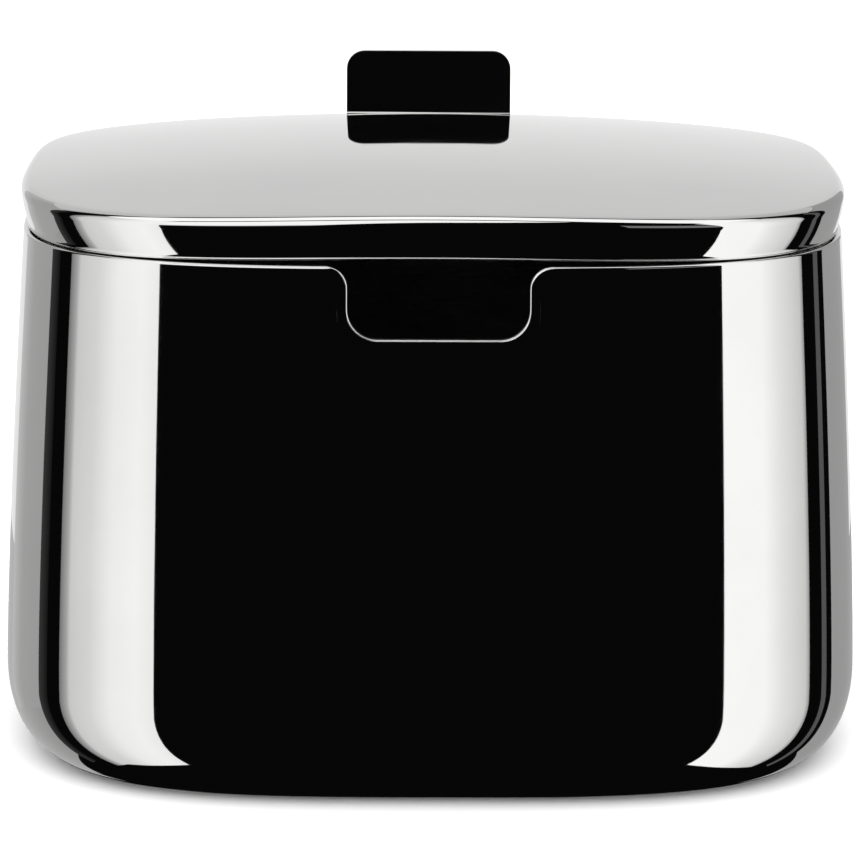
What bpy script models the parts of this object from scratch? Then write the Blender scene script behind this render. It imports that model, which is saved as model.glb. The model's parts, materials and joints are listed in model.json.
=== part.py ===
"""Sugar bowl of polished steel with a hinged lid: the design of its shells, thumb tab and hinge.

Metres, +Z up. The bowl stands on Z = 0, its spoon notch faces -Y and the hinge is at +Y.
"""

import math

import bmesh
import bpy

# Driving sizes
RIM_HALF = 0.043  # half the width of the bowl at its rim
BOWL_HEIGHT = 0.0547
BOWL_WALL = 0.0009
LID_SHEET = 0.0008
GAP = 0.0003  # left between pieces that touch
TRIM = 0.0010  # how far a cutter, or a strip that is trimmed, runs past the edge it makes
CUT_DEPTH = 0.02

# Plan: a rounded square |x|^power + |y|^power = half^power
PLAN_POWER = 3.4
PLAN_STEPS = 96

# Side of the bowl
FLARE = 0.0510 * RIM_HALF  # how far the wall stands out at its widest
FLARE_POWER = 1.35
WALL_STEPS = 8
BASE_ROUND_OUT = 0.138 * RIM_HALF
BASE_ROUND_UP = 0.200 * RIM_HALF
BASE_ROUND_POWER = 2.17
BASE_ROUND_STEPS = 8

# Spoon notch in the front of the rim
NOTCH_WIDTH = 0.0179
NOTCH_DEPTH = 0.0072
NOTCH_LIP_RADIUS = 0.0022
NOTCH_FLOOR_RADIUS = 0.0029

# Lid
CROWN = 0.045 / RIM_HALF  # the dome falls by CROWN * distance^2
LID_TOP = BOWL_HEIGHT + 0.162 * RIM_HALF
LID_HALF = 1.005 * RIM_HALF
LID_FOOT_HALF = 0.989 * RIM_HALF
LID_FOOT = BOWL_HEIGHT + 0.0615 * RIM_HALF  # where the foot would lie at the middle of the plan
SHOULDER = 0.0010
SHOULDER_STEPS = 4
DOME_STEPS = 7

# Thumb tab
TAB_WIDTH = 0.0190
TAB_TOP = BOWL_HEIGHT + 0.290 * RIM_HALF
TAB_FRONT = 0.955 * RIM_HALF
TAB_SHEET = 0.0010
TAB_CORNER = 0.0018
TAB_FILLET = 0.0004
TAB_FOOT = 0.0002  # thickness of the fillet's outer edge

# Hinge
LEAF_WIDTH = 0.0180
LEAF_SHEET = 0.0006
LEAF_DROP = 0.0070
PIN_RADIUS = 0.00075
KNUCKLE_BORE = PIN_RADIUS + GAP
KNUCKLE_RADIUS = KNUCKLE_BORE + LEAF_SHEET
KNUCKLE_ROLL = 285  # degrees of turn in the rolled sheet
KNUCKLE_STEPS = 14
HINGE_Y = LID_HALF + GAP + KNUCKLE_RADIUS
HINGE_Z = BOWL_HEIGHT + 0.0003
PIN_HEAD_RADIUS = 0.0014
PIN_HEAD = 0.0006

SMOOTH_ANGLE = math.radians(30)


def clear_scene():
    for obj in list(bpy.data.objects):
        bpy.data.objects.remove(obj, do_unlink=True)


def new_collection(name, shown=True):
    collection = bpy.data.collections.new(name)
    bpy.context.scene.collection.children.link(collection)
    collection.hide_render = not shown
    return collection


def steel(name, color, roughness):
    material = bpy.data.materials.new(name)
    material.use_nodes = True
    shader = material.node_tree.nodes["Principled BSDF"]
    shader.inputs["Base Color"].default_value = (*color, 1.0)
    shader.inputs["Metallic"].default_value = 1.0
    shader.inputs["Roughness"].default_value = roughness
    return material


def add_object(name, mesh, collection, material=None):
    obj = bpy.data.objects.new(name, mesh)
    collection.objects.link(obj)
    if material:
        mesh.materials.append(material)
    return obj


def blend(start, end, share):
    """The value this share of the way from start to end."""
    return start + (end - start) * share


def arc(center, radius, start, end, steps=6):
    """Points on a round corner, from one angle to the other in degrees."""
    angles = [math.radians(blend(start, end, step / steps)) for step in range(steps + 1)]
    return [(center[0] + radius * math.cos(a), center[1] + radius * math.sin(a)) for a in angles]


def plan_point(angle, half):
    """The point of the rounded square that lies in this direction from its middle."""
    across, along = math.cos(angle), math.sin(angle)
    reach = half / (abs(across) ** PLAN_POWER + abs(along) ** PLAN_POWER) ** (1 / PLAN_POWER)
    return reach * across, reach * along


def crown_drop(x, y):
    """How far the dome lies below its middle here."""
    return CROWN * (x * x + y * y)


def skin(name, rings, drop=None):
    """A surface pulled ring by ring from a circle, open at the first ring and closed at the last.

    rings holds (half width, height); drop lowers each point by its place in the plan.
    """
    form = bmesh.new()
    bmesh.ops.create_circle(form, segments=PLAN_STEPS, radius=1.0)
    loop = list(form.edges)
    for index, (half, height) in enumerate(rings):
        if index:
            pulled = bmesh.ops.extrude_edge_only(form, edges=loop)["geom"]
            loop = [item for item in pulled if isinstance(item, bmesh.types.BMEdge)]
        for vertex in {vertex for edge in loop for vertex in edge.verts}:
            x, y = plan_point(math.atan2(vertex.co.y, vertex.co.x), half)
            vertex.co = (x, y, height - (drop(x, y) if drop else 0.0))
    cap = bmesh.ops.contextual_create(form, geom=loop)["faces"]
    if drop:
        hub = bmesh.ops.poke(form, faces=cap)["verts"][0]
        hub.co = (0.0, 0.0, rings[-1][1])
    bmesh.ops.recalc_face_normals(form, faces=form.faces)
    if sum(face.normal.z * face.calc_area() for face in form.faces) * (1 if drop else -1) < 0:
        bmesh.ops.reverse_faces(form, faces=form.faces)
    mesh = bpy.data.meshes.new(name)
    form.to_mesh(mesh)
    form.free()
    return mesh


def thicken(obj, sheet):
    shell = obj.modifiers.new("Sheet", "SOLIDIFY")
    shell.thickness = sheet
    shell.offset = -1.0
    shell.use_even_offset = True


def outline_mesh(name, points, depth, collection):
    """A flat outline, filled and pushed out by half its depth each way, as a closed mesh."""
    curve = bpy.data.curves.new(name, "CURVE")
    curve.dimensions = "2D"
    curve.fill_mode = "BOTH"
    curve.extrude = depth / 2
    spline = curve.splines.new("POLY")
    spline.points.add(len(points) - 1)
    for point, (across, up) in zip(spline.points, points):
        point.co = (across, up, 0.0, 1.0)
    spline.use_cyclic_u = True
    drawn = add_object(name, curve, collection)
    mesh = bpy.data.meshes.new_from_object(drawn.evaluated_get(bpy.context.evaluated_depsgraph_get()))
    bpy.data.objects.remove(drawn, do_unlink=True)
    form = bmesh.new()
    form.from_mesh(mesh)
    bmesh.ops.remove_doubles(form, verts=form.verts, dist=1e-6)
    bmesh.ops.recalc_face_normals(form, faces=form.faces)
    form.to_mesh(mesh)
    form.free()
    return mesh


def cut(obj, cutter, operation="DIFFERENCE"):
    boolean = obj.modifiers.new(cutter.name, "BOOLEAN")
    boolean.operation = operation
    boolean.solver = "EXACT"
    boolean.object = cutter


def wall_half(depth):
    """Half the bowl's outer width at this depth below its rim, above the round of the base."""
    share = depth / (BOWL_HEIGHT - BASE_ROUND_UP)
    return RIM_HALF + FLARE * (1 - (1 - share) ** FLARE_POWER)


def bowl_rings():
    wall_height = BOWL_HEIGHT - BASE_ROUND_UP
    rings = []
    for step in range(WALL_STEPS + 1):
        depth = wall_height * step / WALL_STEPS
        rings.append((wall_half(depth), BOWL_HEIGHT - depth))
    widest = wall_half(wall_height)
    for step in range(1, BASE_ROUND_STEPS + 1):
        turn = math.radians(90) * step / BASE_ROUND_STEPS
        inward = BASE_ROUND_OUT * (1 - math.cos(turn) ** (2 / BASE_ROUND_POWER))
        height = BASE_ROUND_UP * (1 - math.sin(turn) ** (2 / BASE_ROUND_POWER))
        rings.append((widest - inward, height))
    return rings


def notch_outline():
    side = NOTCH_WIDTH / 2
    floor = BOWL_HEIGHT - NOTCH_DEPTH
    lip = (side + NOTCH_LIP_RADIUS, BOWL_HEIGHT - NOTCH_LIP_RADIUS)
    corner = (side - NOTCH_FLOOR_RADIUS, floor + NOTCH_FLOOR_RADIUS)
    right = [(lip[0], BOWL_HEIGHT + TRIM)]
    right += arc(lip, NOTCH_LIP_RADIUS, 90, 180)
    right += arc(corner, NOTCH_FLOOR_RADIUS, 0, -90)
    return right + [(-across, up) for across, up in reversed(right)]


def make_bowl(parts, cutters, material):
    bowl = add_object("bowl", skin("bowl", bowl_rings()), parts, material)
    thicken(bowl, BOWL_WALL)
    notch = add_object("notch_cutter", outline_mesh("notch", notch_outline(), CUT_DEPTH, cutters), cutters)
    notch.rotation_euler.x = math.radians(90)
    notch.location.y = -RIM_HALF
    cut(bowl, notch)
    return bowl


def lid_rings():
    rings = [
        (LID_FOOT_HALF, LID_FOOT),
        (blend(LID_FOOT_HALF, LID_HALF, 0.5), blend(LID_FOOT, LID_TOP - SHOULDER, 0.5)),
    ]
    for step in range(SHOULDER_STEPS + 1):
        turn = math.radians(90) * step / SHOULDER_STEPS
        half = LID_HALF - SHOULDER * (1 - math.cos(turn))
        rings.append((half, LID_TOP - SHOULDER * (1 - math.sin(turn))))
    for step in range(1, DOME_STEPS):
        rings.append(((LID_HALF - SHOULDER) * (1 - step / DOME_STEPS), LID_TOP))
    return rings


def make_lid(parts, material):
    lid = add_object("lid", skin("lid", lid_rings(), crown_drop), parts, material)
    thicken(lid, LID_SHEET)
    return lid


def tab_side(foot):
    """The tab seen from the side: a strip with a small concave fillet at its foot, front and back."""
    front, back = TAB_FRONT, TAB_FRONT + TAB_SHEET
    middle = foot + TAB_FOOT + TAB_FILLET
    front_fillet = arc((front - TAB_FILLET, middle), TAB_FILLET, -90, 0)
    back_fillet = arc((back + TAB_FILLET, middle), TAB_FILLET, 180, 270)
    upright = [(front, TAB_TOP + TRIM), (back, TAB_TOP + TRIM)]
    return [(front - TAB_FILLET, foot)] + front_fillet + upright + back_fillet + [(back + TAB_FILLET, foot)]


def tab_front(foot):
    side = TAB_WIDTH / 2
    right = [(side, foot - TRIM)] + arc((side - TAB_CORNER, TAB_TOP - TAB_CORNER), TAB_CORNER, 0, 90)
    return right + [(-across, up) for across, up in reversed(right)]


def stand_up(obj, turn):
    """Turns a drawn outline upright, so that it faces -Y, or +X with turn at 90 degrees."""
    obj.rotation_euler = (math.radians(90), 0.0, math.radians(turn))


def make_tab(parts, cutters, material):
    foot = LID_TOP - crown_drop(0.0, TAB_FRONT - TAB_FILLET) + GAP
    strip = outline_mesh("thumb_tab", tab_side(foot), TAB_WIDTH + 2 * TRIM, parts)
    tab = add_object("thumb_tab", strip, parts, material)
    stand_up(tab, 90)
    front = outline_mesh("tab_front", tab_front(foot), CUT_DEPTH, cutters)
    trimmer = add_object("tab_trimmer", front, cutters)
    stand_up(trimmer, 0)
    trimmer.location.y = TAB_FRONT
    cut(tab, trimmer, "INTERSECT")
    return tab


def leaf_side(end_y, end_z):
    """A leaf seen from the side: sheet rolled into a knuckle about the pin, then a straight strap.

    The strap runs from the knuckle's inner side to (end_y, end_z), both measured from the pin's axis.
    """
    roll_end = 180 - KNUCKLE_ROLL * (1 if end_z < 0 else -1)
    outer = arc((0.0, 0.0), KNUCKLE_RADIUS, 180, roll_end, KNUCKLE_STEPS)
    inner = arc((0.0, 0.0), KNUCKLE_BORE, roll_end, 180, KNUCKLE_STEPS)
    strap = [(end_y + LEAF_SHEET, end_z), (end_y, end_z)]
    return outer + inner + strap


def make_leaf(name, end_y, end_z, width, parts, material):
    leaf = add_object(name, outline_mesh(name, leaf_side(end_y, end_z), width, parts), parts, material)
    stand_up(leaf, 90)
    leaf.location = (0.0, HINGE_Y, HINGE_Z)
    return leaf


def knuckle_cutter(name, middle, width, cutters):
    """A block round the barrel, to take the other leaf's knuckle out of a leaf."""
    size = 2 * (KNUCKLE_RADIUS + GAP)
    form = bmesh.new()
    bmesh.ops.create_cube(form, size=1.0)
    bmesh.ops.scale(form, vec=(width, size, size), verts=form.verts)
    mesh = bpy.data.meshes.new(name)
    form.to_mesh(mesh)
    form.free()
    block = add_object(name, mesh, cutters)
    block.location = (middle, HINGE_Y, HINGE_Z)
    return block


def make_leaves(parts, cutters, material):
    third = LEAF_WIDTH / 3
    wall = wall_half(LEAF_DROP) + GAP - HINGE_Y
    bowl_leaf = make_leaf("bowl_hinge_leaf", wall, -LEAF_DROP, LEAF_WIDTH, parts, material)
    cut(bowl_leaf, knuckle_cutter("middle_knuckle", 0.0, third + GAP, cutters))
    skirt_top = LID_TOP - crown_drop(0.0, LID_HALF) - SHOULDER - HINGE_Z
    lid_leaf = make_leaf("lid_hinge_leaf", -KNUCKLE_RADIUS, skirt_top, LEAF_WIDTH, parts, material)
    for side in (-1, 1):
        name = "left_knuckle" if side < 0 else "right_knuckle"
        cut(lid_leaf, knuckle_cutter(name, side * third, third + GAP, cutters))
    return bowl_leaf, lid_leaf


def make_pin(parts, material):
    """One turned pin with a peened head at each end, from a profile spun about the pin's axis."""
    half = LEAF_WIDTH / 2 + GAP
    profile = [
        (0.0, half + PIN_HEAD),
        (PIN_HEAD_RADIUS * 0.6, half + PIN_HEAD),
        (PIN_HEAD_RADIUS, half + PIN_HEAD * 0.4),
        (PIN_HEAD_RADIUS, half),
        (PIN_RADIUS, half),
    ]
    profile += [(radius, -along) for radius, along in reversed(profile)]
    mesh = bpy.data.meshes.new("hinge_pin")
    edges = [(index, index + 1) for index in range(len(profile) - 1)]
    mesh.from_pydata([(radius, 0.0, along) for radius, along in profile], edges, [])
    pin = add_object("hinge_pin", mesh, parts, material)
    turned = pin.modifiers.new("Turned", "SCREW")
    turned.steps = 20
    turned.render_steps = 20
    turned.use_merge_vertices = True
    turned.merge_threshold = 0.00001
    turned.use_smooth_shade = True
    pin.rotation_euler.y = math.radians(90)
    pin.location = (0.0, HINGE_Y, HINGE_Z)
    return pin


def shade(objects):
    bpy.ops.object.select_all(action="DESELECT")
    for obj in objects:
        obj.select_set(True)
    bpy.context.view_layer.objects.active = objects[0]
    bpy.ops.object.shade_smooth()
    for obj in objects:
        obj.data.set_sharp_from_angle(angle=SMOOTH_ANGLE)


clear_scene()
parts = new_collection("sugar_bowl")
cutters = new_collection("cutters", shown=False)
polished = steel("polished_steel", (0.80, 0.80, 0.80), 0.04)
satin = steel("satin_steel", (0.62, 0.62, 0.62), 0.30)
bowl_leaf, lid_leaf = make_leaves(parts, cutters, satin)
shade(
    [
        make_bowl(parts, cutters, polished),
        make_lid(parts, polished),
        make_tab(parts, cutters, polished),
        bowl_leaf,
        lid_leaf,
        make_pin(parts, satin),
    ]
)
for cutter in cutters.objects:
    cutter.display_type = "WIRE"
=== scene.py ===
"""Sugar bowl of mirror-polished steel with a hinged lid: the finished look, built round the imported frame."""

import json
import math

import bpy
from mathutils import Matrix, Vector


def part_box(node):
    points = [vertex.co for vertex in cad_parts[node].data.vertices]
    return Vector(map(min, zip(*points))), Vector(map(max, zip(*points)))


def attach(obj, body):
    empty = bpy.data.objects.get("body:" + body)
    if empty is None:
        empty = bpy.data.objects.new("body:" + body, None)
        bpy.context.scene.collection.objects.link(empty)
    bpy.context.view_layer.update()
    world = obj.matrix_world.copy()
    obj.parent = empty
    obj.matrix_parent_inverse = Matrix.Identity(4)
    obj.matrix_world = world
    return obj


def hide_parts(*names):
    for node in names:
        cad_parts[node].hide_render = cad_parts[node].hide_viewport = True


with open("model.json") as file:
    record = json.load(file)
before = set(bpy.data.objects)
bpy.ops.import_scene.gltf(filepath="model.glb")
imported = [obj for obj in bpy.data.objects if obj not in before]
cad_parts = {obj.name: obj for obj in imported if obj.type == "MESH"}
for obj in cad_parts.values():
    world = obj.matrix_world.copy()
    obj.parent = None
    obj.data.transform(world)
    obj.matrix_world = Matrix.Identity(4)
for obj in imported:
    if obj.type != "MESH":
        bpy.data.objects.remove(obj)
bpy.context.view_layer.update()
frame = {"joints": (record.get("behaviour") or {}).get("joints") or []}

# ---------------------------------------------------------------------------------------------------------
# Bowl
# One deep-drawn shell of stainless steel, mirror-polished outside and satin inside. Its plan is a rounded
# square, its wall widens a little downwards, and a spoon notch is punched in the front of its rim.

bowl_low, bowl_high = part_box("bowl")
RIM_HEIGHT = bowl_high.z
RIM_HALF = 0.043
WALL_OUT = bowl_high.x - RIM_HALF  # how far the wall stands out at its widest
WALL_CURVE = 1.35  # above 1 the wall bulges, and 1 is a straight slope
WALL = 0.0009
ROUND_OUT = 0.138 * RIM_HALF  # width and height of the round between wall and base
ROUND_UP = 0.200 * RIM_HALF
ROUND_POWER = 2.17
DISH_SHARE, FLAT_SHARE = 0.86, 0.93  # where the dish of the base ends, and the middle of its flat ring
PLAN_POWER = 3.4  # the plan is |x|^power + |y|^power = half^power
PLAN_EVEN_FROM = 0.75  # share of the rim's half from which rings ease into standing out evenly
OUTER_EDGE = 0.00033  # radii of the polished edges of the rim and the notch
INNER_EDGE = 0.00030
BASE_DISH = 0.0004  # how far the middle of the base is pushed up

NOTCH_MIDDLE = 0.0002  # how far right of the middle the notch was punched
NOTCH_SIDE = 0.00895
NOTCH_DEPTH = 0.0072
NOTCH_LIP = 0.0022
NOTCH_CORNER = 0.0029
NOTCH_REACH = 0.0145  # half the width of the wall that is drawn towards the notch
NOTCH_FLOW = 0.0160  # how far below the rim the wall's rows are level again
NOTCH_OFFSET = 0.0011  # width of the strip that runs parallel to the notch's edge

BOWL_COLUMNS = 512
FRONT_DENSITY = 0.6  # share by which columns crowd together at the front and back


def deselect():
    if bpy.context.mode != "OBJECT":
        bpy.ops.object.mode_set(mode="OBJECT")
    bpy.ops.object.select_all(action="DESELECT")


def blend(start, end, share):
    return start + (end - start) * share


def steps(start, end, count, lean=1.0):
    """Values from start to end, leaving start out; lean above 1 crowds them near the start."""
    return [blend(start, end, (step / count) ** lean) for step in range(1, count + 1)]


def arc(center, radius, start, end, count):
    """Points on a round corner from one angle to the other, in degrees."""
    angles = [math.radians(blend(start, end, step / count)) for step in range(count + 1)]
    return [(center[0] + radius * math.cos(a), center[1] + radius * math.sin(a)) for a in angles]


def turned(name, profile, columns):
    """A closed body spun from a profile of (radius, height) points whose two ends lie on the axis."""
    deselect()
    mesh = bpy.data.meshes.new(name)
    mesh.from_pydata([(r, 0.0, z) for r, z in profile], [(i, i + 1) for i in range(len(profile) - 1)], [])
    obj = bpy.data.objects.new(name, mesh)
    bpy.context.scene.collection.objects.link(obj)
    bpy.context.view_layer.objects.active = obj
    obj.select_set(True)
    bpy.ops.object.mode_set(mode="EDIT")
    bpy.ops.mesh.select_all(action="SELECT")
    bpy.ops.mesh.spin(steps=columns, angle=math.tau, center=(0, 0, 0), axis=(0, 0, 1))
    bpy.ops.mesh.select_all(action="SELECT")
    bpy.ops.mesh.remove_doubles(threshold=1e-6)
    bpy.ops.mesh.normals_make_consistent(inside=False)
    bpy.ops.object.mode_set(mode="OBJECT")
    return obj


def finish_piece(obj, smooth_degrees, *materials):
    deselect()
    obj.data.materials.clear()
    for material in materials:
        obj.data.materials.append(material)
    bpy.context.view_layer.objects.active = obj
    obj.select_set(True)
    bpy.ops.object.shade_smooth_by_angle(angle=math.radians(smooth_degrees))
    obj.select_set(False)


def wall_half(height):
    """Half the bowl's outer width at this height, above the round of its base."""
    share = (RIM_HEIGHT - height) / (RIM_HEIGHT - ROUND_UP)
    return RIM_HALF + WALL_OUT * (1 - (1 - min(share, 1.0)) ** WALL_CURVE)


def bowl_profile():
    """The shell's section, from the middle of the base up the outside, over the rim and down the inside."""
    widest = wall_half(ROUND_UP)
    foot = widest - ROUND_OUT
    points = [(0.0, BASE_DISH)]
    dish = foot * DISH_SHARE
    points += [(r, BASE_DISH * (1 - (r / dish) ** 4)) for r in steps(0.0, dish, 8)]
    points += [(foot * FLAT_SHARE, 0.0), (foot, 0.0)]
    for turn in steps(math.pi / 2, 0.0, 26):
        out = ROUND_OUT * math.cos(turn) ** (2 / ROUND_POWER)
        points.append((foot + out, ROUND_UP * (1 - math.sin(turn) ** (2 / ROUND_POWER))))
    straight_top = RIM_HEIGHT - NOTCH_FLOW
    points += [(wall_half(z), z) for z in steps(ROUND_UP, straight_top, 18)]
    near_rim = RIM_HEIGHT - NOTCH_OFFSET
    points += [(wall_half(z), z) for z in steps(straight_top, near_rim, 20)]
    edge = RIM_HEIGHT - OUTER_EDGE
    points += [(wall_half(z), z) for z in steps(near_rim, edge, 3)]
    points += arc((wall_half(edge) - OUTER_EDGE, edge), OUTER_EDGE, 0, 90, 9)[1:]
    edge = RIM_HEIGHT - INNER_EDGE
    points += arc((wall_half(edge) - WALL + INNER_EDGE, edge), INNER_EDGE, 90, 180, 5)
    inner = [(wall_half(z) - WALL, z) for z in steps(edge, near_rim, 3)]
    inner += [(wall_half(z) - WALL, z) for z in steps(near_rim, straight_top, 12)]
    inner += [(wall_half(z) - WALL, z) for z in steps(straight_top, ROUND_UP, 10)]
    for turn in steps(0.0, math.pi / 2, 16):
        out = (ROUND_OUT - WALL) * math.cos(turn) ** (2 / ROUND_POWER)
        up = (ROUND_UP - WALL) * math.sin(turn) ** (2 / ROUND_POWER)
        inner.append((foot + out, ROUND_UP - up))
    inner += [(r, WALL) for r in steps(foot, 0.0, 8)]
    return points + inner


def notch_point(share, depth):
    """A point of the notched wall as (across, below the rim), share of the way along the edge.

    Down to NOTCH_OFFSET the rows run parallel to the edge. Below that they ease down to level rows.
    """
    lip, corner = NOTCH_LIP, NOTCH_CORNER
    lengths = [
        NOTCH_REACH - NOTCH_SIDE - lip,
        lip * math.pi / 2,
        NOTCH_DEPTH - lip - corner,
        corner * math.pi / 2,
        NOTCH_SIDE - corner,
    ]
    half_length = sum(lengths)
    along = share * 2 * half_length
    side = -1 if along < half_length else 1
    if side > 0:
        along = 2 * half_length - along
    offset = min(depth, NOTCH_OFFSET)
    for index, length in enumerate(lengths):
        gone = min(along, length)
        if index == 0:
            x, below, normal = -NOTCH_REACH + gone, 0.0, (0.0, 1.0)
        elif index == 1:
            turn = gone / lip
            x = -NOTCH_SIDE - lip + lip * math.sin(turn)
            below = lip - lip * math.cos(turn)
            normal = (-math.sin(turn), math.cos(turn))
        elif index == 2:
            x, below, normal = -NOTCH_SIDE, lip + gone, (-1.0, 0.0)
        elif index == 3:
            turn = gone / corner
            x = -NOTCH_SIDE + corner - corner * math.cos(turn)
            below = NOTCH_DEPTH - corner + corner * math.sin(turn)
            normal = (-math.cos(turn), math.sin(turn))
        else:
            x, below, normal = -NOTCH_SIDE + corner + gone, NOTCH_DEPTH, (0.0, 1.0)
        along -= gone
        if along <= 0:
            break
    x, below = x + normal[0] * offset, below + normal[1] * offset
    if depth > NOTCH_OFFSET:
        ease = (depth - NOTCH_OFFSET) / (NOTCH_FLOW - NOTCH_OFFSET)
        level_x = -NOTCH_REACH + share * 2 * NOTCH_REACH
        level_x = level_x if side < 0 else -level_x
        x = blend(x, level_x, ease * ease * (3 - 2 * ease))
        below = blend(below, NOTCH_FLOW, ease)
    return (x if side < 0 else -x), below


def plan_point(from_front, half):
    """The point of the rounded square that lies in this direction, measured from the front."""
    across, along = math.sin(from_front), -math.cos(from_front)
    reach = half / (abs(across) ** PLAN_POWER + abs(along) ** PLAN_POWER) ** (1 / PLAN_POWER)
    return reach * across, reach * along


def wall_point(from_front, half):
    """A point of the bowl's plan: beyond the rim's plan the wall stands out evenly, square to it."""
    x, y = plan_point(from_front, half)
    ease = min(max((half / RIM_HALF - PLAN_EVEN_FROM) / (1 - PLAN_EVEN_FROM), 0.0), 1.0)
    slope = PLAN_POWER - 1
    square_out = Vector((math.copysign(abs(x) ** slope, x), math.copysign(abs(y) ** slope, y))).normalized()
    moved = (square_out - Vector((x, y)) / half) * (half - RIM_HALF) * ease * ease * (3 - 2 * ease)
    return x + moved.x, y + moved.y


def wall_front(x, half):
    """How far forward the wall stands at this distance across."""
    from_front = math.asin(x / half)
    for _ in range(8):
        across, along = wall_point(from_front, half)
        from_front += (x - across) / half
    return along


def press_bowl(obj):
    """Presses the round shell into its rounded-square plan and draws the front rim down into the notch."""
    for vertex in obj.data.vertices:
        radius = math.hypot(vertex.co.x, vertex.co.y)
        height = vertex.co.z
        if radius < 1e-7:
            continue
        from_front = math.atan2(vertex.co.x, -vertex.co.y)
        angle = from_front - FRONT_DENSITY * math.sin(2 * from_front) / 2
        x, y = wall_point(angle, radius)
        z, depth = height, RIM_HEIGHT - height
        from_notch = x - NOTCH_MIDDLE
        if y < 0 and abs(from_notch) < NOTCH_REACH and depth < NOTCH_FLOW:
            inset = wall_half(height) - radius
            across, below = notch_point((from_notch + NOTCH_REACH) / (2 * NOTCH_REACH), depth)
            x, z = NOTCH_MIDDLE + across, RIM_HEIGHT - below
            y = wall_front(x, wall_half(z) - inset)
        vertex.co = (x, y, z)


def node(tree, kind, place, **inputs):
    made = tree.nodes.new(kind)
    made.location = place
    for name, value in inputs.items():
        made.inputs[name.replace("_", " ")].default_value = value
    return made


def steel_shader(name, color, roughness):
    material = bpy.data.materials.new(name)
    material.use_nodes = True
    shader = material.node_tree.nodes["Principled BSDF"]
    shader.inputs["Base Color"].default_value = (*color, 1.0)
    shader.inputs["Metallic"].default_value = 1.0
    shader.inputs["Roughness"].default_value = roughness
    return material, shader


def ramp(tree, place, low, high, dark, light):
    """A colour ramp from dark at low to light at high, both greys or both colours."""
    made = node(tree, "ShaderNodeValToRGB", place)
    for element, position, value in zip(made.color_ramp.elements, (low, high), (dark, light)):
        element.position = position
        element.color = (*value, 1.0) if isinstance(value, tuple) else (value, value, value, 1.0)
    return made


def mirror_steel(name, waves=1.0):
    """Mirror polish: slow waves left by the press, fine polishing scratches and a faint uneven haze."""
    material, shader = steel_shader(name, (0.66, 0.66, 0.655), 0.03)
    tree = material.node_tree
    place = node(tree, "ShaderNodeTexCoord", (-1400, 0))
    haze = node(tree, "ShaderNodeTexNoise", (-900, 200), Scale=55.0, Detail=6.0, Roughness=0.6)
    tint = ramp(tree, (-600, 320), 0.35, 0.70, (0.645, 0.645, 0.64), (0.68, 0.678, 0.672))
    gloss = ramp(tree, (-600, 80), 0.35, 0.75, 0.018, 0.045)
    tree.links.new(place.outputs["Object"], haze.inputs["Vector"])
    tree.links.new(haze.outputs["Fac"], tint.inputs["Fac"])
    tree.links.new(haze.outputs["Fac"], gloss.inputs["Fac"])
    tree.links.new(tint.outputs["Color"], shader.inputs["Base Color"])
    tree.links.new(gloss.outputs["Color"], shader.inputs["Roughness"])
    slow = node(tree, "ShaderNodeTexNoise", (-900, -150), Scale=70.0, Detail=1.0)
    fine = node(tree, "ShaderNodeTexNoise", (-900, -400), Scale=9000.0, Detail=2.0)
    stretch = node(tree, "ShaderNodeMapping", (-1150, -400), Scale=(0.04, 1.0, 1.0))
    slow_bump = node(tree, "ShaderNodeBump", (-500, -150), Strength=1.0, Distance=0.000012 * waves)
    fine_bump = node(tree, "ShaderNodeBump", (-250, -300), Strength=0.5, Distance=0.0000003)
    tree.links.new(place.outputs["Object"], slow.inputs["Vector"])
    tree.links.new(place.outputs["Object"], stretch.inputs["Vector"])
    tree.links.new(stretch.outputs["Vector"], fine.inputs["Vector"])
    tree.links.new(slow.outputs["Fac"], slow_bump.inputs["Height"])
    tree.links.new(fine.outputs["Fac"], fine_bump.inputs["Height"])
    tree.links.new(slow_bump.outputs["Normal"], fine_bump.inputs["Normal"])
    tree.links.new(fine_bump.outputs["Normal"], shader.inputs["Normal"])
    return material


def satin_steel(name):
    """Satin finish: a fine brushed grain with soft patches."""
    material, shader = steel_shader(name, (0.56, 0.56, 0.555), 0.30)
    tree = material.node_tree
    place = node(tree, "ShaderNodeTexCoord", (-1400, 0))
    grain_run = node(tree, "ShaderNodeMapping", (-1150, 0), Scale=(1.0, 16.0, 16.0))
    grain = node(tree, "ShaderNodeTexNoise", (-900, 0), Scale=420.0, Detail=5.0, Roughness=0.6)
    tint = ramp(tree, (-600, 200), 0.25, 0.80, (0.53, 0.53, 0.525), (0.61, 0.608, 0.60))
    gloss = ramp(tree, (-600, -50), 0.25, 0.80, 0.24, 0.34)
    bump = node(tree, "ShaderNodeBump", (-300, -250), Strength=0.35, Distance=0.00001)
    tree.links.new(place.outputs["Object"], grain_run.inputs["Vector"])
    tree.links.new(grain_run.outputs["Vector"], grain.inputs["Vector"])
    for socket in (tint.inputs["Fac"], gloss.inputs["Fac"], bump.inputs["Height"]):
        tree.links.new(grain.outputs["Fac"], socket)
    tree.links.new(tint.outputs["Color"], shader.inputs["Base Color"])
    tree.links.new(gloss.outputs["Color"], shader.inputs["Roughness"])
    tree.links.new(bump.outputs["Normal"], shader.inputs["Normal"])
    return material


def faces_inward(face):
    return face.normal.x * face.center.x + face.normal.y * face.center.y < -0.001 * RIM_HALF


def satin_inside(obj, inside):
    """Gives the satin finish to the faces that inside picks, and the mirror polish to the rest."""
    for face in obj.data.polygons:
        face.material_index = 1 if inside(face) else 0


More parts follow.
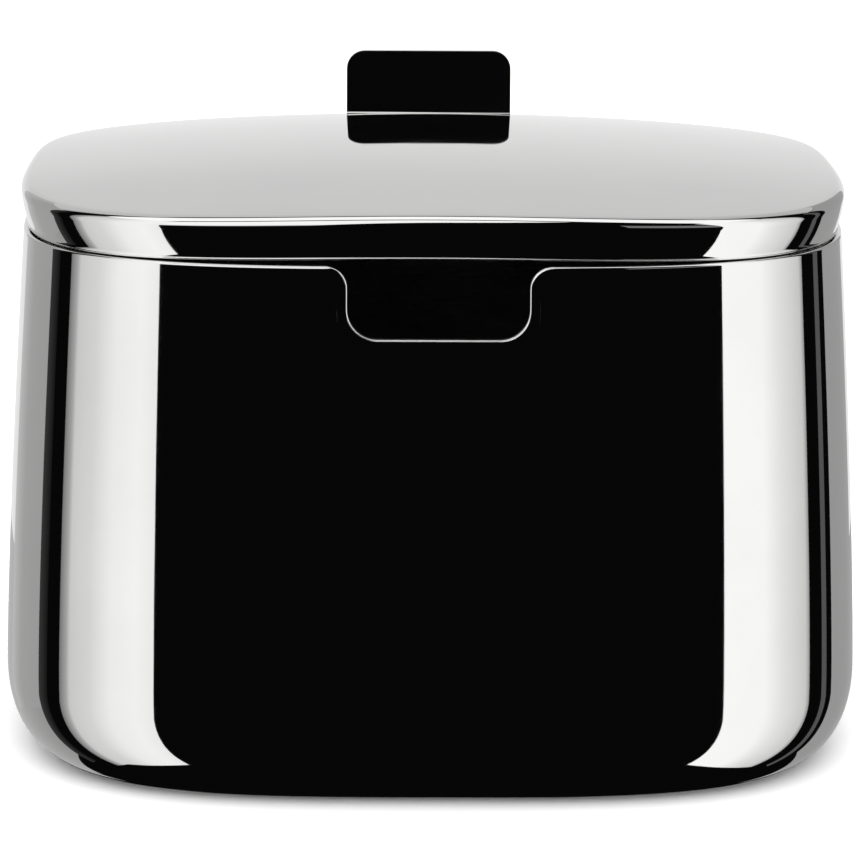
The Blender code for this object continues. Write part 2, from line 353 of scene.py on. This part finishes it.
bowl = turned("bowl_shell", bowl_profile(), BOWL_COLUMNS)
press_bowl(bowl)
mirror = mirror_steel("mirror_steel")
satin = satin_steel("satin_steel")
finish_piece(bowl, 50, mirror, satin)
satin_inside(
    bowl,
    lambda face: WALL * 0.9 < face.center.z < RIM_HEIGHT - NOTCH_OFFSET
    and (faces_inward(face) or face.normal.z > 0.3),
)
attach(bowl, "bowl")
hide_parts("bowl")

# ---------------------------------------------------------------------------------------------------------
# Lid
# One pressed shell of mirror-polished steel: a shallow dome, a tight shoulder, and a short skirt that
# curls inwards and ends in a fine turned-out lip. Its edge is arched with the dome.

lid_low, lid_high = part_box("lid")
CROWN = 0.045 / RIM_HALF  # the dome drops by this times the square of the distance from the middle
LID_TOP = lid_high.z
LID_HALF = lid_high.x
LID_FOOT_HALF = 0.989 * RIM_HALF
LID_FOOT = RIM_HEIGHT + 0.0590 * RIM_HALF
LID_SHEET = 0.0008
SHOULDER = 0.0010
SKIRT_SLOPE = 0.36  # share of the skirt's inward lean that is straight, the rest being curl
LIP_HEIGHT = 0.00028
LIP_OUT = 0.00008
LIP_EDGE = 0.00012
LIP_INSIDE = 0.0002  # radius inside the lip
UNDER_CORNER = 0.0004  # radius between the skirt's inside and the underside
FOOT_LEVELLED = 0.2  # by how much the edge's arch is flatter than the dome
LID_COLUMNS = 448


def skirt_half(height):
    """Half the skirt's outer width before the dome is pressed: upright at its top and curling inwards."""
    share = (LID_TOP - SHOULDER - height) / (LID_TOP - SHOULDER - LID_FOOT)
    return blend(LID_HALF, LID_FOOT_HALF, SKIRT_SLOPE * share + (1 - SKIRT_SLOPE) * share * share)


def lid_profile():
    """The lid's section before its dome is pressed, from the middle of the top, round the lip and back."""
    points = [(r, LID_TOP) for r in steps(0.0, LID_HALF - SHOULDER, 22, 0.8)]
    points = [(0.0, LID_TOP)] + points
    points += arc((LID_HALF - SHOULDER, LID_TOP - SHOULDER), SHOULDER, 90, 0, 12)[1:]
    lip_top = LID_FOOT + LIP_HEIGHT
    points += [(skirt_half(z), z) for z in steps(LID_TOP - SHOULDER, lip_top, 14)]
    points += [
        (
            skirt_half(lip_top) + LIP_OUT * (1 - math.cos(turn)),
            blend(lip_top, LID_FOOT + LIP_HEIGHT / 2, math.sin(turn)),
        )
        for turn in steps(0.0, math.pi / 2, 6)
    ]
    edge = skirt_half(lip_top) + LIP_OUT
    points += arc((edge - LIP_EDGE, LID_FOOT + LIP_EDGE), LIP_EDGE, 10, -90, 6)
    inner = LID_FOOT_HALF - LID_SHEET
    points += arc((inner + LIP_INSIDE, LID_FOOT + LIP_INSIDE), LIP_INSIDE, -90, -180, 4)
    under, corner = LID_TOP - LID_SHEET, LID_HALF - LID_SHEET - UNDER_CORNER
    points += [(skirt_half(z) - LID_SHEET, z) for z in steps(LID_FOOT + LIP_INSIDE, under - 0.0005, 6)]
    points += arc((corner, under - UNDER_CORNER), UNDER_CORNER, 0, 90, 5)[1:]
    points += [(r, under) for r in steps(corner, 0.0, 14)]
    return points


def press_lid(obj):
    """Presses the round blank into its rounded-square plan and its dome."""
    for vertex in obj.data.vertices:
        radius = math.hypot(vertex.co.x, vertex.co.y)
        if radius < 1e-7:
            continue
        x, y = plan_point(math.atan2(vertex.co.x, -vertex.co.y), radius)
        down = (LID_TOP - vertex.co.z) / (LID_TOP - LID_FOOT)
        arch = blend(x * x + y * y, LID_HALF * LID_HALF, FOOT_LEVELLED * down * (radius / LID_HALF) ** 8)
        vertex.co = (x, y, vertex.co.z - CROWN * arch)


lid = turned("lid_shell", lid_profile(), LID_COLUMNS)
press_lid(lid)
finish_piece(lid, 60, mirror, satin)
satin_inside(
    lid,
    lambda face: (faces_inward(face) or face.normal.z < -0.7)
    and face.center.z + CROWN * (face.center.x**2 + face.center.y**2) > LID_FOOT + 0.0003,
)
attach(lid, "lid")
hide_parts("lid")

# ---------------------------------------------------------------------------------------------------------
# Thumb tab
# A strip of the same sheet, welded upright to the rear of the lid with a small polished fillet at its foot.
# Pressing it back opens the lid.

tab_low, tab_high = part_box("thumb_tab")
TAB_SHEET = 0.0010
TAB_FRONT = 0.955 * RIM_HALF
TAB_CORNER = 0.0021
TAB_FILLET = 0.00014
TAB_EDGE = 0.00014
TAB_SUNK = 0.0003  # how far its foot goes into the lid
TAB_MIDDLE = 0.00015  # how far right of the middle it was welded


def drawn(name, outline, width, middle=0.0):
    """A body pushed out along X from a side outline of (y, z) points, half its width each way."""
    deselect()
    mesh = bpy.data.meshes.new(name)
    mesh.from_pydata([(middle - width / 2, y, z) for y, z in outline], [], [list(range(len(outline)))])
    obj = bpy.data.objects.new(name, mesh)
    bpy.context.scene.collection.objects.link(obj)
    bpy.context.view_layer.objects.active = obj
    obj.select_set(True)
    bpy.ops.object.mode_set(mode="EDIT")
    bpy.ops.mesh.select_all(action="SELECT")
    bpy.ops.mesh.extrude_region_move(TRANSFORM_OT_translate={"value": (width, 0, 0)})
    bpy.ops.mesh.select_all(action="SELECT")
    bpy.ops.mesh.normals_make_consistent(inside=False)
    bpy.ops.object.mode_set(mode="OBJECT")
    return obj


def bevel_edges(obj, chosen, width, segments):
    """Bevels the edges that chosen picks by the middle and the direction of each."""
    deselect()
    bpy.context.view_layer.objects.active = obj
    obj.select_set(True)
    bpy.ops.object.mode_set(mode="EDIT")
    bpy.ops.mesh.select_mode(type="EDGE")
    bpy.ops.mesh.select_all(action="DESELECT")
    bpy.ops.object.mode_set(mode="OBJECT")
    points = obj.data.vertices
    for edge in obj.data.edges:
        start, end = (points[index].co for index in edge.vertices)
        edge.select = chosen((start + end) / 2, (end - start).normalized())
    bpy.ops.object.mode_set(mode="EDIT")
    bpy.ops.mesh.bevel(offset=width, segments=segments, profile=0.5)
    bpy.ops.object.mode_set(mode="OBJECT")


def soften(obj, width, segments, angle=35):
    bevel = obj.modifiers.new("Edges", "BEVEL")
    bevel.width = width
    bevel.segments = segments
    bevel.limit_method = "ANGLE"
    bevel.angle_limit = math.radians(angle)
    bpy.context.view_layer.objects.active = obj
    bpy.ops.object.modifier_apply(modifier=bevel.name)


def keep_flats(obj):
    """Turns the normals at each soft edge to the large flat face beside it, so that flats mirror as flats."""
    weighted = obj.modifiers.new("Flats", "WEIGHTED_NORMAL")
    weighted.keep_sharp = True
    weighted.weight = 100
    bpy.context.view_layer.objects.active = obj
    bpy.ops.object.modifier_apply(modifier=weighted.name)


def tab_outline():
    front, back = TAB_FRONT, TAB_FRONT + TAB_SHEET
    lid_here = LID_TOP - CROWN * front * front
    middle = lid_here + TAB_FILLET
    foot = lid_here - TAB_SUNK
    outline = [(front - TAB_FILLET, foot)] + arc((front - TAB_FILLET, middle), TAB_FILLET, -90, 0, 10)
    outline += [(front, tab_high.z), (back, tab_high.z)]
    outline += arc((back + TAB_FILLET, middle), TAB_FILLET, 180, 270, 10) + [(back + TAB_FILLET, foot)]
    return outline


tab = drawn("thumb_tab_strip", tab_outline(), tab_high.x - tab_low.x, TAB_MIDDLE)
bevel_edges(tab, lambda middle, run: abs(run.y) > 0.9 and middle.z > tab_high.z - 0.0001, TAB_CORNER, 12)
soften(tab, TAB_EDGE, 4)
finish_piece(tab, 40, mirror)
keep_flats(tab)
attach(tab, "lid")
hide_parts("thumb_tab")

# ---------------------------------------------------------------------------------------------------------
# Hinge
# Two leaves of satin steel sheet, each rolled into knuckles about a pin with peened heads. One leaf is
# spot-welded to the bowl's rear wall and the other to the lid's skirt.

LEAF_SHEET = 0.0006
HINGE = Vector(frame["joints"][0]["pos_m"])
pin_low, pin_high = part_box("hinge_pin")
leaf_low, leaf_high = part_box("bowl_hinge_leaf")
lid_leaf_low, lid_leaf_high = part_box("lid_hinge_leaf")
KNUCKLE_RADIUS = leaf_high.y - HINGE.y
KNUCKLE_BORE = KNUCKLE_RADIUS - LEAF_SHEET
LEAF_WIDTH = leaf_high.x - leaf_low.x
PIN_RADIUS = 0.00075
KNUCKLE_GAP = 0.0003
LEAF_EDGE = 0.00008
WELD_RADIUS, WELD_PROUD = 0.0011, 0.0009  # of the ball that presses a dimple, and how far it stands off
HEAD_GAP, HEAD_RIM = 0.00005, 0.0002  # between knuckle and pin head, and the head's straight rim


def leaf_outline(end_y, end_z):
    """A rolled knuckle and its straight strap, which ends at (end_y, end_z) from the pin's axis."""
    roll_end = 180 - 290 * (1 if end_z < 0 else -1)
    rolled = arc((0, 0), KNUCKLE_RADIUS, 180, roll_end, 36) + arc((0, 0), KNUCKLE_BORE, roll_end, 180, 36)
    outline = rolled + [(end_y + LEAF_SHEET, end_z), (end_y, end_z)]
    return [(HINGE.y + y, HINGE.z + z) for y, z in outline]


def cut_away(obj, cutter):
    boolean = obj.modifiers.new("Cut", "BOOLEAN")
    boolean.operation = "DIFFERENCE"
    boolean.solver = "EXACT"
    boolean.object = cutter
    bpy.context.view_layer.objects.active = obj
    bpy.ops.object.modifier_apply(modifier=boolean.name)
    bpy.data.objects.remove(cutter, do_unlink=True)


def barrel_block(middle, width):
    deselect()
    bpy.ops.mesh.primitive_cube_add(size=1.0, location=(middle, HINGE.y, HINGE.z))
    block = bpy.context.active_object
    block.scale = (width, 2.3 * KNUCKLE_RADIUS, 2.3 * KNUCKLE_RADIUS)
    return block


def weld_dimples(leaf, y, z):
    """Two shallow spot-weld dimples in the strap."""
    for side in (-1, 1):
        deselect()
        place = (side * LEAF_WIDTH * 0.27, y + WELD_PROUD, z)
        bpy.ops.mesh.primitive_uv_sphere_add(radius=WELD_RADIUS, segments=32, ring_count=16, location=place)
        cut_away(leaf, bpy.context.active_object)


third = LEAF_WIDTH / 3
rolled_strap = leaf_outline(wall_half(leaf_low.z) - HINGE.y, leaf_low.z - HINGE.z)
bowl_leaf = drawn("bowl_leaf", rolled_strap, LEAF_WIDTH)
cut_away(bowl_leaf, barrel_block(0.0, third + KNUCKLE_GAP))
weld_dimples(bowl_leaf, wall_half(leaf_low.z) + LEAF_SHEET, blend(leaf_low.z, HINGE.z, 0.4))
soften(bowl_leaf, LEAF_EDGE, 2)
finish_piece(bowl_leaf, 40, satin)
keep_flats(bowl_leaf)
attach(bowl_leaf, "bowl")
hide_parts("bowl_hinge_leaf")

lid_leaf = drawn("lid_leaf", leaf_outline(-KNUCKLE_RADIUS, lid_leaf_high.z - HINGE.z), LEAF_WIDTH)
for side in (-1, 1):
    cut_away(lid_leaf, barrel_block(side * third, third + KNUCKLE_GAP))
weld_dimples(lid_leaf, HINGE.y - KNUCKLE_BORE, blend(lid_leaf_high.z, HINGE.z, 0.30))
soften(lid_leaf, LEAF_EDGE, 2)
finish_piece(lid_leaf, 40, satin)
keep_flats(lid_leaf)
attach(lid_leaf, "lid")
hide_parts("lid_hinge_leaf")


def pin_profile():
    end, shaft = pin_high.x, LEAF_WIDTH / 2 + HEAD_GAP
    head = pin_high.z - HINGE.z
    dome = [
        (head * math.sin(turn), blend(shaft + HEAD_RIM, end, math.cos(turn)))
        for turn in steps(0.0, math.pi / 2, 10)
    ]
    right = [(0.0, end)] + dome + [(head, shaft), (PIN_RADIUS, shaft)]
    return right + [(r, -x) for r, x in reversed(right)]


pin = turned("hinge_pin_turned", pin_profile(), 40)
pin.rotation_euler = (0.0, math.radians(90), 0.0)
pin.location = HINGE
deselect()
pin.select_set(True)
bpy.context.view_layer.objects.active = pin
bpy.ops.object.transform_apply(location=True, rotation=True, scale=True)
finish_piece(pin, 40, satin)
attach(pin, "bowl")
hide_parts("hinge_pin")

# ---------------------------------------------------------------------------------------------------------
# Studio
# A pale floor under soft white light. White and grey panels hang in a black tent at both sides, behind and
# overhead, and are seen only in the steel.

AIM = Vector((0.0, 0.0, RIM_HEIGHT))
FLOOR_SIZE, TENT_SIZE = 6.0, 9.0
PANEL_DISTANCE = 1.2
FLOOR_GREY = 0.93
TENT_GLOW = 0.003


def matt_material(name, grey):
    material = bpy.data.materials.new(name)
    material.use_nodes = True
    shader = material.node_tree.nodes["Principled BSDF"]
    shader.inputs["Base Color"].default_value = (grey, grey, grey, 1.0)
    shader.inputs["Roughness"].default_value = 0.9
    shader.inputs["Specular IOR Level"].default_value = 0.0
    return material


def glow_material(name, stops):
    """A panel's glow: stops are (place from 0 to 1 along the panel, brightness)."""
    material = bpy.data.materials.new(name)
    material.use_nodes = True
    tree = material.node_tree
    tree.nodes.clear()
    brightest = max(glow for _, glow in stops)
    place = node(tree, "ShaderNodeUVMap", (-800, 0))
    split = node(tree, "ShaderNodeSeparateXYZ", (-600, 0))
    levels = node(tree, "ShaderNodeValToRGB", (-400, 0))
    light = node(tree, "ShaderNodeEmission", (0, 0), Strength=brightest)
    out = node(tree, "ShaderNodeOutputMaterial", (200, 0))
    elements = levels.color_ramp.elements
    while len(elements) < len(stops):
        elements.new(0.5)
    for element, (position, glow) in zip(elements, stops):
        element.position = position
        element.color = (glow / brightest, glow / brightest, glow / brightest, 1.0)
    tree.links.new(place.outputs["UV"], split.inputs["Vector"])
    tree.links.new(split.outputs["X"], levels.inputs["Fac"])
    tree.links.new(levels.outputs["Color"], light.inputs["Color"])
    tree.links.new(light.outputs["Emission"], out.inputs["Surface"])
    return material


def only_mirrored(obj):
    """Leaves a panel to be seen in the steel alone."""
    obj.visible_camera = False
    obj.visible_diffuse = False
    obj.visible_shadow = False
    obj.visible_transmission = False


def panel(name, corners, stops):
    """A flat four-cornered panel whose glow changes from its first two corners to its last two."""
    mesh = bpy.data.meshes.new(name)
    mesh.from_pydata(corners, [], [(0, 1, 2, 3)])
    places = mesh.uv_layers.new(name="UVMap")
    for loop, place in zip(places.data, ((0, 0), (0, 1), (1, 1), (1, 0))):
        loop.uv = place
    obj = bpy.data.objects.new(name, mesh)
    bpy.context.scene.collection.objects.link(obj)
    mesh.materials.append(glow_material(name + "_glow", stops))
    only_mirrored(obj)


def around(azimuth, distance, height):
    """A point round the object: azimuth 0 is in front of it, and 90 to its right."""
    turn = math.radians(azimuth)
    return (distance * math.sin(turn), -distance * math.cos(turn), RIM_HEIGHT + height)


def upright(name, start, end, bottom, top, stops):
    """An upright panel between two azimuths, from one elevation to another, all in degrees."""
    low, high = (PANEL_DISTANCE * math.tan(math.radians(tilt)) for tilt in (bottom, top))
    corners = [around(start, PANEL_DISTANCE, low), around(start, PANEL_DISTANCE, high)]
    corners += [around(end, PANEL_DISTANCE, high), around(end, PANEL_DISTANCE, low)]
    panel(name, corners, stops)


deselect()
bpy.ops.mesh.primitive_plane_add(size=FLOOR_SIZE, location=(0, 0, 0))
floor = bpy.context.active_object
floor.name = "floor"
floor.data.materials.append(matt_material("floor_finish", FLOOR_GREY))
floor.visible_glossy = False

world = bpy.data.worlds.new("studio")
world.use_nodes = True
world.node_tree.nodes["Background"].inputs["Color"].default_value = (1.0, 1.0, 1.0, 1.0)
world.node_tree.nodes["Background"].inputs["Strength"].default_value = 1.6
bpy.context.scene.world = world

# A black tent stands round it all, and the panels hang inside the tent.
deselect()
bpy.ops.mesh.primitive_cube_add(size=TENT_SIZE, location=(0, 0, 0))
tent = bpy.context.active_object
tent.name = "black_tent"
tent.data.materials.append(glow_material("tent_glow", [(0.0, TENT_GLOW), (1.0, TENT_GLOW)]))
only_mirrored(tent)

# Each panel: name, azimuths of its sides, elevations of its bottom and top, and its glow from side to side.
for name, start, end, bottom, top, stops in (
    ("left_softbox", -45.5, -88, -54, 46, [(0.0, 1.24), (0.2, 1.33), (0.5, 1.25), (0.8, 0.98), (1.0, 0.92)]),
    ("left_softbox_rim", -88, -102, -54, 46, [(0.0, 0.92), (0.4, 0.86), (0.6, 0.55), (1.0, 0.25)]),
    ("left_strip", -113, -121.5, -48, 27, [(0.0, 0.01), (0.5, 0.03), (1.0, 0.05)]),
    ("right_softbox", 51.3, 106.5, -52, 46, [(0.0, 1.4), (0.4, 1.38), (0.6, 1.12), (0.93, 0.84), (1.0, 0.4)]),
    ("right_strip", 118.5, 123.5, -48, 27, [(0.0, 0.12), (1.0, 0.12)]),
    ("left_grey", -121.5, -157, -20, 27, [(0.0, 0.47), (0.6, 0.47), (1.0, 0.60)]),
    ("left_low_grey", -121.5, -157, -42, -20, [(0.0, 0.42), (1.0, 0.52)]),
    ("left_rear_grey", -157, -165, -40, -13, [(0.0, 0.52), (1.0, 0.52)]),
    ("left_edge_grey", -165, -176, -24, -13, [(0.0, 0.52), (1.0, 0.60)]),
    ("front_right_fill", 20, 50.5, 6, 27, [(0.0, 0.24), (1.0, 0.24)]),
    ("right_grey", 129.5, 160, -37, 27, [(0.0, 0.42), (0.7, 0.40), (1.0, 0.42)]),
    ("right_rear_grey", 160, 165, -37, -13, [(0.0, 0.42), (1.0, 0.42)]),
    ("right_edge_grey", 165, 176, -24, -13, [(0.0, 0.42), (1.0, 0.50)]),
    ("left_rear_fill", -123, -158, 27, 62, [(0.0, 0.5), (0.3, 0.72), (1.0, 0.72)]),
    ("right_rear_fill", 126, 160, 27, 62, [(0.0, 0.5), (0.3, 0.66), (1.0, 0.66)]),
):
    upright(name, start, end, bottom, top, stops)

BACK, BACK_SIDE = 2.0, 1.2
BACK_LOW, BACK_TOP = (BACK * math.tan(math.radians(tilt)) for tilt in (-15, 67))
back_stops = [(0, 0.90), (4, 0.86), (9, 0.82), (15, 0.745), (67, 0.75)]  # by elevation in degrees
panel(
    "backdrop",
    [
        (-BACK_SIDE, BACK, BACK_LOW),
        (BACK_SIDE, BACK, BACK_LOW),
        (BACK_SIDE, BACK, BACK_TOP),
        (-BACK_SIDE, BACK, BACK_TOP),
    ],
    [
        ((BACK * math.tan(math.radians(tilt)) - BACK_LOW) / (BACK_TOP - BACK_LOW), glow)
        for tilt, glow in back_stops
    ],
)

OVERHEAD, OVERHEAD_SIDE = 1.7, 1.6
panel(
    "overhead",
    [
        (-OVERHEAD_SIDE, 0.36, OVERHEAD),
        (OVERHEAD_SIDE, 0.36, OVERHEAD),
        (OVERHEAD_SIDE, -0.75, OVERHEAD),
        (-OVERHEAD_SIDE, -0.75, OVERHEAD),
    ],
    [(0.0, 1.45), (1.0, 1.45)],
)

FRONT = -1.15
panel(
    "front_fill",
    [(-2.0, FRONT, 0.24), (-0.15, FRONT, 0.24), (0.35, FRONT, 1.9), (-2.0, FRONT, 1.9)],
    [(0.0, 0.2), (0.12, 1.4), (1.0, 1.4)],
)

top_light = bpy.data.objects.new("top_light", bpy.data.lights.new("top_light", "AREA"))
top_light.data.size = 1.4
top_light.data.energy = 6.0
top_light.location = (0.0, -0.2, 1.3)
top_light.rotation_euler = (AIM - top_light.location).to_track_quat("-Z", "Y").to_euler()
top_light.visible_glossy = False
bpy.context.scene.collection.objects.link(top_light)

# The camera stands close in front, a little left of the middle and just above the lid.
CAMERA_DISTANCE = 11.3828 * RIM_HALF
CAMERA_RISE = math.radians(7.9167)
CAMERA_SIDE = math.radians(-0.7695)
LOOK_DOWN = math.radians(2.8160)
CAMERA_ROLL = math.radians(0.3462)

camera = bpy.data.objects.new("camera", bpy.data.cameras.new("camera"))
bpy.context.scene.collection.objects.link(camera)
back = Vector(
    (
        math.sin(CAMERA_SIDE) * math.cos(CAMERA_RISE),
        -math.cos(CAMERA_SIDE) * math.cos(CAMERA_RISE),
        math.sin(CAMERA_RISE),
    )
)
camera.location = AIM + back * CAMERA_DISTANCE
camera.rotation_mode = "XYZ"
camera.rotation_euler = (-back).to_track_quat("-Z", "Y").to_euler()
camera.rotation_euler.x -= LOOK_DOWN
camera.rotation_euler.rotate_axis("Z", CAMERA_ROLL)
camera.data.sensor_width = 36.0
camera.data.lens = 190.34
camera.data.clip_start = 0.01
bpy.context.scene.camera = camera
bpy.context.scene.view_settings.view_transform = "Standard"
